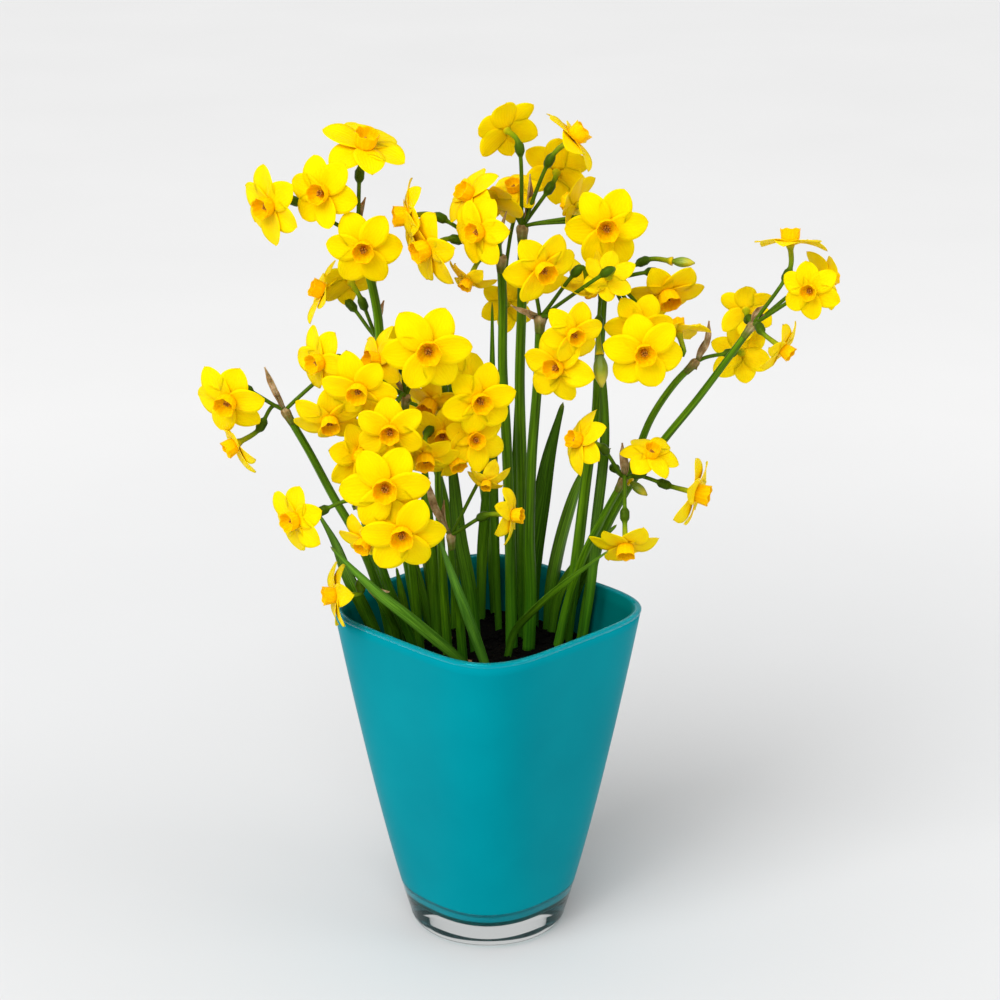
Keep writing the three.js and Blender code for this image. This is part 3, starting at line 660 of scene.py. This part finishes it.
def plan_radius(half, angle, z):
    rise = min(max(z / PLAN_HEIGHT, 0.0), 1.0)
    exponent = CORNER_AT_BASE + CORNER_GAIN * (1 - (1 - rise) ** 2)
    across = abs(math.cos(angle - math.pi / 4)) ** exponent
    along = abs(math.sin(angle - math.pi / 4)) ** exponent
    return half / (across + along) ** (1 / exponent)


def jar_skin(profile, bumpy=None):
    """Rows of loops round the axis for a profile of (half width, z), bent to the jar's plan."""
    rows = []
    for half, z in profile:
        loop = []
        for step in range(AROUND_JAR):
            angle = math.tau * step / AROUND_JAR
            radius = plan_radius(half, angle, z)
            x, y = radius * math.cos(angle), radius * math.sin(angle)
            loop.append((x, y, z + (bumpy(x, y) if bumpy else 0.0)))
        rows.append(loop)
    return rows


def plain_marks(rows):
    count, loop = np.asarray(rows).shape[:2]
    mark = np.zeros((count, loop, 3))
    mark[:, :, 0] = np.linspace(0, 1, count)[:, None]
    mark[:, :, 1] = np.linspace(0, 1, loop)[None, :]
    return mark


def quarter(steps):
    """The angles of a quarter turn, without its start."""
    return [math.radians(90 * i / steps) for i in range(1, steps + 1)]


def arc(centre, radius, end, steps):
    """Points (half, z) on a round edge, from angle 0 to an end in degrees."""
    turns = [math.radians(end * i / steps) for i in range(steps + 1)]
    return [(centre[0] + radius * math.cos(t), centre[1] + radius * math.sin(t)) for t in turns]


def wall(inset, low, high, steps=24):
    heights = [low + (high - low) * i / steps for i in range(steps + 1)]
    return [(outer_half(z) - inset, z) for z in heights]


def build_jar():
    """The clear foot and lip, and between them the wall, filled with colour to its face."""
    hollow = [(HEEL_START * share, UNDERSIDE_RISE * (1 - share ** 4))
              for share in UNDERSIDE_SHARES]
    turns = quarter(HEEL_STEPS)
    reach = outer_half(HEEL_HEIGHT) - HEEL_START
    heel = [(HEEL_START + reach * math.sin(t), HEEL_HEIGHT * (1 - math.cos(t))) for t in turns]
    outer_end, tip, inner_end = (CLEAR_EDGE - gap for gap in GLASS_EDGE)
    side = wall(0.0, HEEL_HEIGHT + WALL_START, outer_end, steps=10)
    side += [(outer_half(tip), tip)]
    inside = [(half - BOND, z) for half, z in colour_face(inner_end)[::-1]]
    bowl = bowl_profile(GLASS_WALL, FOOT_THICKNESS)
    glass = Surface()
    rows = jar_skin(hollow + heel + side + inside + bowl)
    glass.skin(rows, plain_marks(rows))
    middle = (outer_half(JAR_TOP) - LIP / 2, JAR_TOP - LIP / 2)
    rows = jar_skin(arc(middle, LIP / 2, LIP_TURN, LIP_STEPS))
    glass.skin(rows, plain_marks(rows), ring=True)
    glass.piece("jar_glass", GLASS, "clear_glass", "glass_jar")

    inset = GLASS_WALL - BOND
    low = bowl_profile(inset, FOOT_THICKNESS - BOND)[::-1]
    low += colour_face(CLEAR_EDGE)
    outer = wall(0.0, CLEAR_EDGE + COLOUR_STEP, COLOUR_TOP)
    inner_inset = GLASS_WALL + LINING_WALL
    inner = wall(inner_inset, FOOT_THICKNESS + BOWL, COLOUR_TOP)[::-1]
    high = bowl_profile(inner_inset, FOOT_THICKNESS + LINING_WALL)
    lining = Surface()
    rows = jar_skin(low + outer + inner + high)
    mark = plain_marks(rows)
    # The third mark picks out the inner rows, which the lining's look paints greener and darker as
    # shade.
    mark[len(low + outer):, :, 2] = 1
    lining.skin(rows, mark)
    lining.piece("jar_lining", LINING, "teal_lining", "coloured_lining")


def colour_face(high):
    """The colour's outer face, from the bowl's corner up to where it reaches the wall's face."""
    low = FOOT_THICKNESS + BOWL
    heights = [low + (high - low) * i / FACE_STEPS for i in range(FACE_STEPS + 1)]
    return [(outer_half(z) - (GLASS_WALL - BOND) * (1 - smooth(z, low, CLEAR_EDGE)), z)
            for z in heights]


def bowl_profile(inset, bottom):
    """From the wall down round the bowl's corner to the middle of its floor."""
    edge = outer_half(FOOT_THICKNESS + BOWL) - inset
    corner = [(edge - BOWL * (1 - math.cos(t)), bottom + BOWL * (1 - math.sin(t)))
              for t in quarter(BOWL_STEPS)]
    return corner + [(corner[-1][0] * share, bottom) for share in FLOOR_SHARES]


SOIL_RISE = 0.6  # the soil's lumps are centred this far above its CAD top
SOIL_LUMPS = [(1.6, 3.1, 0.06), (1.2, 9.7, 0.22), (0.7, 1.3, 0.6)]  # height, layer of noise, scale
SOIL_GAP = 0.2  # between the soil and the lining
SOIL_SHOULDER = 20.0  # height at which the soil's narrowed bottom meets the wall
SOIL_NARROWING = 8.0  # half widths lost from the shoulder to the bottom
SOIL_EDGE_DROP = 2.0  # the soil's side ends this far below its top
SOIL_RINGS = 60
CRUMBS = 900
CRUMB_MARGIN = 2.0  # crumbs stay this far from the wall


def soil_height(x, y):
    return SOIL_RISE + sum(high * wobble(x, y, layer, scale) for high, layer, scale in SOIL_LUMPS)


def build_soil():
    inset = GLASS_WALL + LINING_WALL + SOIL_GAP
    edge = outer_half(SOIL_TOP) - inset
    side = [(outer_half(SOIL_SHOULDER) - inset - SOIL_NARROWING, SOIL_BOTTOM)]
    side += wall(inset, SOIL_SHOULDER, SOIL_TOP - SOIL_EDGE_DROP, steps=8)
    top = [(edge * (1 - i / SOIL_RINGS), SOIL_TOP) for i in range(SOIL_RINGS)]
    rows = jar_skin(side) + jar_skin(top, soil_height)
    soil = Surface()
    soil.skin(rows, plain_marks(rows))
    for _ in range(CRUMBS):
        angle = rng.uniform(0, math.tau)
        reach = math.sqrt(rng.random())
        size = rng.uniform(0.5, 1.9)
        radius = (plan_radius(edge, angle, SOIL_TOP) - CRUMB_MARGIN) * reach
        x, y = radius * math.cos(angle), radius * math.sin(angle)
        crumb(soil, (x, y, SOIL_TOP + soil_height(x, y) + size * 0.25), size)
    soil.piece("soil_surface", SOIL, "soil", "potting_soil")


def crumb(surface, centre, size):
    """A lumpy clod of soil."""
    rows = []
    for i in range(5):
        polar = math.pi * (0.12 + 0.76 * i / 4)
        loop = []
        for j in range(7):
            angle = math.tau * j / 7
            reach = size * rng.uniform(0.7, 1.15)
            loop.append((centre[0] + reach * math.sin(polar) * math.cos(angle),
                         centre[1] + reach * math.sin(polar) * math.sin(angle),
                         centre[2] - 0.7 * reach * math.cos(polar)))
        rows.append(loop)
    surface.skin(rows, plain_marks(rows))


# ---- stems and leaves
ROOT_DEPTH = 2  # stems and leaves start this far below the soil's CAD top
STEM_FOOT_RADIUS = 2.45
STEM_TAPER = 0.8
STEM_STEPS = 44
STEM_SIDES = 20
LEAF_STEPS = 60
LEAF_THICKNESS = 1.5
LEAF_CHANNEL = 0.28  # depth of the dish across a blade, as a share of its half width
LEAF_CURL = 0.35  # largest twist from foot to tip, in radians


def rooted(path):
    """The path, with its first point set just under the soil's top."""
    return [(*path[0], SOIL_TOP - ROOT_DEPTH), *path[1:]]


def round_skin(surface, line, first_side, radii, sides, mark_along, chance, section=None):
    """A closed bar along a line. section gives the radius factor at an angle."""
    frames = carried_frames(line, first_side)
    angles = [math.tau * s / sides for s in range(sides)]
    factor = [section(a) if section else 1.0 for a in angles]
    rows, mark = [], []
    for point, (side, out), radius, along in zip(line, frames, radii, mark_along):
        rows.append([point + radius * f * turned(a, side, out) for a, f in zip(angles, factor)])
        mark.append([(along, a / math.tau, chance) for a in angles])
    surface.skin(rows, mark)


def stem_section(angle):
    """Slightly flattened, with two soft edges and fine ribs."""
    return 1 + 0.09 * math.cos(2 * angle) + 0.025 * math.cos(10 * angle)


def build_stem(number, head):
    line, _ = route(rooted([*head["stem"], head["hub"]]), STEM_STEPS)
    share = np.linspace(0, 1, len(line))
    radii = (STEM_FOOT_RADIUS - STEM_TAPER * share) * STOUT_STEMS.get(number, 1.0)
    stem = Surface()
    round_skin(stem, line, (1, 0.3, 0), radii, STEM_SIDES, share, rng.random(), stem_section)
    stem.piece(f"stem_{number}", STEM, "stem", f"flower_stem_{number}")


def leaf_width(v):
    """Share of full width: a firm foot, full by a third, then a long taper to a blunt tip."""
    foot = 0.78 + 0.22 * smooth(v, 0, 0.35)
    tip = math.sqrt(max(0.0, 1 - smooth(v, 0.45, 1.0) ** 1.3 * 0.92))
    end = math.sqrt(max(0.0, 1 - max(0.0, (v - 0.96) / 0.04) ** 2))
    return foot * tip * max(end, 0.08)


def strap_skin(surface, points, width, thickness, faces, steps, channel, shape, chance, curl=0.0):
    """A closed strap along a curve, dished across its width and thin at its edges."""
    columns = 9
    line, _ = route(points, steps)
    faces = np.array(faces, float)
    rows, mark = [], []
    for i, (point, tangent) in enumerate(zip(line, directions(line))):
        v = i / steps
        side = unit(np.cross(faces, tangent))
        out = np.cross(tangent, side)
        turn = curl * v
        side, out = turned(turn, side, out), turned(turn, out, -side)
        half = width / 2 * shape(v)
        spans = np.linspace(-1, 1, columns)
        dish = channel * half * (spans ** 2 - 0.4)
        thick = thickness / 2 * (1 - 0.75 * spans ** 2) * (0.35 + 0.65 * min(1, half / width * 2))
        front = [point + s * half * side + (d + t) * out for s, d, t in zip(spans, dish, thick)]
        back = [point + s * half * side + (d - t) * out for s, d, t in zip(spans, dish, thick)]
        rows.append(front + back[::-1])
        tags = [(v, (s + 1) / 2, chance) for s in spans]
        mark.append(tags + tags[::-1])
    surface.skin(rows, mark)


def build_leaf(number, width, faces, path):
    leaf = Surface()
    chance = max(rng.random() * PALE_FROM, PALE_LEAVES.get(number, 0))
    strap_skin(leaf, rooted(path), width, LEAF_THICKNESS, faces, LEAF_STEPS, LEAF_CHANNEL,
               leaf_width, chance, rng.uniform(-LEAF_CURL, LEAF_CURL))
    leaf.piece(f"leaf_blade_{number}", LEAF, "leaf", f"leaf_{number}")


# ---- flowers
TUBE_LENGTH = 12  # tube and ovary run this far straight back from the petals
STALK_RISE = 0.35  # least rise of a stalk as it leaves the hub, as a share of its reach
STALK_LEAD = 6
STALK_STEPS = 40
STALK_SIDES = 12
FULL_STALK = 24.0  # shorter stalks are squeezed lengthwise
STALK_MARKED = 26.0  # length over which the along mark goes from 0 to 1
BUD_STALK_WIDTH = 30  # a bud's stalk is that of a flower this wide


def flower_axes(turn, lift, roll):
    axis = facing(turn, lift)
    hint = np.array([0, 0, 1.0]) if abs(axis[2]) < 0.9 else np.array([0, 1.0, 0])
    first = unit(np.cross(hint, axis))
    second = np.cross(axis, first)
    return axis, turned(roll, first, second), turned(roll, second, -first)


def petal_outline(v):
    """Share of the petal's full half width: broad from the base, then drawn in to a soft point."""
    if v < 0.42:
        return 0.50 + 0.50 * math.sin(math.pi / 2 * v / 0.42)
    return max(0.0, 1 - ((v - 0.42) / 0.58) ** 2.4) ** 0.68 + 0.03 * (1 - smooth(v, 0.9, 1.0))


def add_petal(surface, centre, axes, angle, width, age, inner):
    axis, first, second = axes
    radial = turned(angle, first, second)
    sideways = np.cross(axis, radial)
    start = 0.05 * width
    length = width / 2 * rng.uniform(0.96, 1.06) - start
    half = width * rng.uniform(0.176, 0.200) * (0.94 if inner else 1.06) * (1 - 0.22 * age)
    rise = rng.uniform(0.05, 0.16) - 0.10 * age * rng.random()
    fall = rng.uniform(0.08, 0.20) + 0.30 * age * rng.random()
    twist = rng.uniform(-0.16, 0.16) * (1 + 2.5 * age)
    phase = rng.uniform(0, math.tau)
    ripple = width * (0.010 + 0.03 * age)
    lift = width * (0.022 if inner else 0.0)
    rows_count = 15
    columns = 9
    spans = np.linspace(-1, 1, columns)
    rows, mark = [], []
    for i in range(rows_count):
        v = 1 - (1 - i / (rows_count - 1)) ** 1.25
        reach = start + length * v
        wide = half * petal_outline(v)
        height = lift + width * (rise * v - fall * v * v)
        front, back, tags = [], [], []
        for s in spans:
            h = height + twist * v * s * wide
            h += wide * (0.10 * s * s - 0.05 * (1 - abs(s)) ** 2)
            h += ripple * v * s * s * math.sin(5.5 * v + phase + 2.2 * s)
            sweep = reach - 0.04 * length * s * s * (1 - v)
            base = centre + sweep * radial + s * wide * sideways
            thick = 0.20 * (1 - 0.6 * s * s) * (1.3 - 0.6 * v)
            front.append(base + (h + thick) * axis)
            back.append(base + (h - thick) * axis)
            tags.append((v, (s + 1) / 2, age))
        rows.append(front + back[::-1])
        mark.append(tags + tags[::-1])
    surface.skin(rows, mark)


def add_cup(surface, centre, axes, width, age):
    """The cup: outside wall, faintly waved lip, inside wall and the throat, which cup_orange paints
    darker as shade.
    """
    axis, first, second = axes
    rim = 0.134 * width * (1 - 0.15 * age)
    depth = 0.19 * width
    profile = [(0.40, -0.04, 0.0), (0.66, 0.02, 0.05), (0.84, 0.14, 0.12), (0.95, 0.34, 0.2),
               (1.00, 0.58, 0.28), (1.02, 0.82, 0.36), (1.05, 0.95, 0.42), (1.05, 1.01, 0.45),
               (1.01, 1.02, 0.48), (0.96, 0.94, 0.53), (0.92, 0.78, 0.6), (0.88, 0.54, 0.68),
               (0.78, 0.32, 0.76), (0.56, 0.16, 0.86), (0.34, 0.08, 0.94), (0.20, -0.02, 1.0)]
    loop = 40
    phase = rng.uniform(0, math.tau)
    rows, mark = [], []
    for reach, height, along in profile:
        ring, tags = [], []
        for j in range(loop):
            angle = math.tau * j / loop
            frill = smooth(height, 0.35, 1.0)
            waves = 0.045 * math.cos(6 * angle + phase) + 0.02 * math.cos(11 * angle + 2 * phase)
            waves += 0.07 * age * math.cos(4 * angle + 3 * phase)
            r = rim * reach * (1 + waves * frill)
            h = depth * height * (1 + frill * 0.045 * math.cos(6 * angle - phase))
            ring.append(centre + r * turned(angle, first, second) + (h + 0.02 * width) * axis)
            tags.append((along, j / loop, age * 0.8))
        rows.append(ring)
        mark.append(tags)
    surface.skin(rows, mark)


def add_stamens(surface, centre, axes, width):
    """Six anthers round the style, down in the throat of the cup."""
    axis, first, second = axes
    anthers = 6
    for k in range(anthers + 1):
        style = k == anthers
        angle = math.tau * k / anthers
        away = (0.0 if style else 0.030 * width) * turned(angle, first, second)
        low, high = (0.02, 0.15) if style else (0.055, 0.115 + 0.02 * (k % 2))
        thick = 0.011 * width if style else 0.017 * width
        ends = np.linspace(low * width, high * width, 6)
        line = np.array([centre + away + h * axis for h in ends])
        radii = thick * np.array([0.35, 0.85, 1.0, 1.0, 0.8, 0.3])
        round_skin(surface, line, first, radii, 7, np.linspace(0, 1, 6), 0.5)


def stalk_radius(s, width):
    """Radius at s mm behind the petals: flared tube, ovary, then the thin stalk."""
    size = 0.85 + 0.15 * width / 40
    tube = 1.45 + 1.1 * (1 - smooth(s, 0, 3.5)) - 0.15 * smooth(s, 4, 12)
    ovary = 1.25 * smooth(s, 12, 14.5) * (1 - smooth(s, 18, 20.5))
    thin = 0.25 * smooth(s, 18, 21)
    return size * (tube + ovary - thin)


def add_stalk(surface, hub, centre, axis, width):
    """Runs from the petals back along the flower's axis, then over to the hub."""
    hub = np.array(hub, float)
    back = centre - TUBE_LENGTH * axis
    start = back - hub
    start[2] = max(start[2], STALK_RISE * np.linalg.norm(start))
    lead = hub + STALK_LEAD * unit(start)
    line, length = route([centre + 0.3 * axis, back, lead, hub], STALK_STEPS)
    behind = np.linspace(0, length, len(line))
    squeeze = min(1.0, length / FULL_STALK)
    radii = [stalk_radius(s / squeeze, width) for s in behind]
    along = [min(1.0, s / squeeze / STALK_MARKED) for s in behind]
    side = np.cross(directions(line)[0], (0.3, 0.5, 0.8))
    round_skin(surface, line, side, radii, STALK_SIDES, along, rng.random())


def add_bud(surface, centre, axes, length):
    """A closed bud: petals furled into a spindle with six soft flutes."""
    axis, first, second = axes
    rows, mark = [], []
    steps = 15
    sides = 24
    for i in range(steps + 1):
        t = i / steps
        radius = length * 0.2 * math.sin(math.pi * min(max(t, 0.03), 0.97)) ** 0.7
        ring = []
        for j in range(sides):
            angle = math.tau * j / sides + 0.8 * t
            r = radius * (1 + 0.07 * math.cos(6 * angle))
            ring.append(centre + r * turned(angle, first, second) + (t - 0.5) * length * axis)
        rows.append(ring)
        mark.append([(t, j / sides, 0.5) for j in range(sides)])
    surface.skin(rows, mark)


def spathe_width(v):
    return (0.7 + 0.3 * smooth(v, 0.3, 0.55)) * (1 - 0.75 * smooth(v, 0.72, 1.0))


def add_spathe(surface, hub, tip, below, stout):
    """The dry bract: a sleeve round the stem's top and two crumpled blades up to its tip."""
    hub, tip, below = (np.array(p, float) for p in (hub, tip, below))
    for lean, size in ((0.0, 1.0), (1.0, 0.6)):
        off = np.array([rng.uniform(-1, 1), rng.uniform(-1, 1), 0]) * 4 * lean
        end = hub + (tip - hub) * size + off
        bend = hub + (tip - hub) * size * 0.5 + np.array([rng.uniform(-2, 2), -1.5, 0])
        look = (rng.uniform(-0.5, 0.5), -1, 0.1)
        start = hub - 4 * unit(tip - hub)
        strap_skin(surface, [start, hub, bend, end], 4.0 - 1.0 * lean, 0.45, look,
                   22, 0.9, spathe_width, rng.random(), rng.uniform(-2.2, 2.2))
    up = unit(hub - below)
    line = np.array([hub + up * h for h in np.linspace(-8, 1.5, 12)])
    radii = [1.9, 2.0, 2.05, 2.1, 2.15, 2.25, 2.4, 2.5, 2.55, 2.45, 2.1, 1.3]
    side = np.cross(up, (0.3, 0.5, 0.2))
    round_skin(surface, line, side, stout * np.array(radii), 16, np.linspace(0, 0.5, 12), 0.5,
               lambda a: 1 + 0.05 * math.cos(5 * a))


def build_head(number, head):
    node = f"flower_head_{number}"
    petals, cups, stamens, stalks, spathe, buds = (Surface() for _ in range(6))
    for x, y, z, turn, lift, width, age in head["flowers"]:
        centre = np.array([x, y, z], float)
        axes = flower_axes(turn, lift, rng.uniform(0, math.pi / 3))
        for k in range(6):
            angle = k * math.pi / 3 + rng.uniform(-0.06, 0.06)
            add_petal(petals, centre, axes, angle, width, age, inner=k % 2 == 0)
        add_cup(cups, centre, axes, width, age)
        add_stamens(stamens, centre, axes, width)
        add_stalk(stalks, head["hub"], centre, axes[0], width)
    for x, y, z, turn, lift, length in head.get("buds", []):
        centre = np.array([x, y, z], float)
        axes = flower_axes(turn, lift, 0)
        add_bud(buds, centre, axes, length)
        foot = centre - axes[0] * length * 0.45
        add_stalk(stalks, head["hub"], foot, axes[0], BUD_STALK_WIDTH)
    add_spathe(spathe, head["hub"], head["spathe"], head["stem"][-1], STOUT_STEMS.get(number, 1.0))
    made = [(petals, "petals", PETAL, "flower"), (cups, "cups", CUP, "cup"),
            (stamens, "stamens", STAMEN, "stamen"), (stalks, "stalks", STALK, "stem"),
            (spathe, "spathe", SPATHE, "spathe"), (buds, "buds", BUD, "flower")]
    for surface, name, look, slot in made:
        if surface.points:
            surface.piece(f"head_{number}_{name}", look, slot, node)


# ---- the studio, in metres, degrees
LENS = 94.7
CAMERA_PLACE = (0.0066, -1.2952, 0.6863)
CAMERA_TILT = 71
FLOOR_SIZE = 30
FLOOR_DROP = 0.0002  # the floor lies this far under the jar's foot
WORLD_STRENGTH = 0.56
SUN_STRENGTH = 2.2
SUN_WIDTH = 50
SUN_TILT = (38, -22)
SOFTBOXES = [("key_softbox", (-0.9, -1.1, 1.3), 0.9, 9),
             ("side_softbox", (1.3, -0.5, 0.8), 0.7, 4)]  # name, place, size, watts
SOFTBOX_AIM = (0, 0, 0.22)


def build_studio():
    scene = bpy.context.scene
    scene.view_settings.view_transform = "Standard"
    camera = bpy.data.objects.new("camera", bpy.data.cameras.new("camera"))
    camera.data.lens = LENS
    camera.data.sensor_width = 36
    camera.data.clip_end = 60
    camera.location = CAMERA_PLACE
    camera.rotation_euler = (math.radians(CAMERA_TILT), 0, 0)
    scene.collection.objects.link(camera)
    scene.camera = camera

    bpy.ops.mesh.primitive_plane_add(size=FLOOR_SIZE, location=(0, 0, -FLOOR_DROP))
    floor = bpy.context.object
    floor.name = "studio_floor"
    floor.data.materials.append(floor_material())

    world = bpy.data.worlds.new("studio")
    world.use_nodes = True
    background = world.node_tree.nodes["Background"]
    background.inputs["Color"].default_value = (1, 1, 1, 1)
    background.inputs["Strength"].default_value = WORLD_STRENGTH
    scene.world = world

    sun = bpy.data.objects.new("soft_sun", bpy.data.lights.new("soft_sun", "SUN"))
    sun.data.energy = SUN_STRENGTH
    sun.data.angle = math.radians(SUN_WIDTH)
    sun.rotation_euler = (*map(math.radians, SUN_TILT), 0)
    scene.collection.objects.link(sun)
    for name, place, size, power in SOFTBOXES:
        lamp = bpy.data.objects.new(name, bpy.data.lights.new(name, "AREA"))
        lamp.data.energy = power
        lamp.data.size = size
        lamp.location = place
        aim = Vector(SOFTBOX_AIM) - lamp.location
        lamp.rotation_euler = aim.to_track_quat("-Z", "Y").to_euler()
        scene.collection.objects.link(lamp)


# ---- making everything
build_studio()
build_jar()
build_soil()
BULBS = 6
for number in range(1, BULBS + 1):
    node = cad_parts[f"bulb_{number}"]
    node.data.materials.clear()
    node.data.materials.append(BULB)
for number, head in enumerate(HEADS, 1):
    build_stem(number, head)
    build_head(number, head)
for number, (width, faces, path) in enumerate(LEAVES, 1):
    build_leaf(number, width, faces, path)
